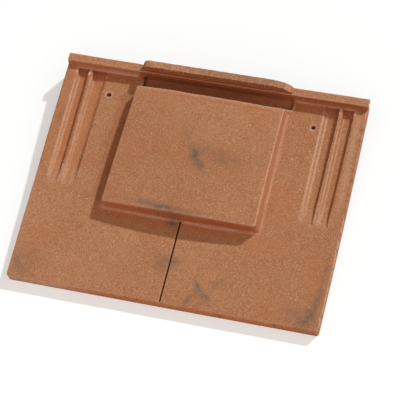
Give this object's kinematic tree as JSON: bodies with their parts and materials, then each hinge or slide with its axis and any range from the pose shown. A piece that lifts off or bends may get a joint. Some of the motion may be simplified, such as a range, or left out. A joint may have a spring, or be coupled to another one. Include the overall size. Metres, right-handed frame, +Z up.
{
  "type": "clay vent tile",
  "caption": "Double-width clay plain roof tile with a raised ventilation hood, a vent slot behind it, side ribs, a head upstand, nail holes and a false joint",
  "frame": {"origin": "Bottom centre of the bounding box: the floor under the middle of the tile as it lies on its tail edge and nib bar", "axes": "+X runs along the tile's width, +Y from the tail (lower edge on the roof) to the head with its upstand, +Z up"},
  "size_m": [0.335, 0.2652, 0.0457],
  "materials": {
    "clay": "matte"
  },
  "bodies": {
    "root": {"vent_tile": "clay"}
  },
  "joints": []
}
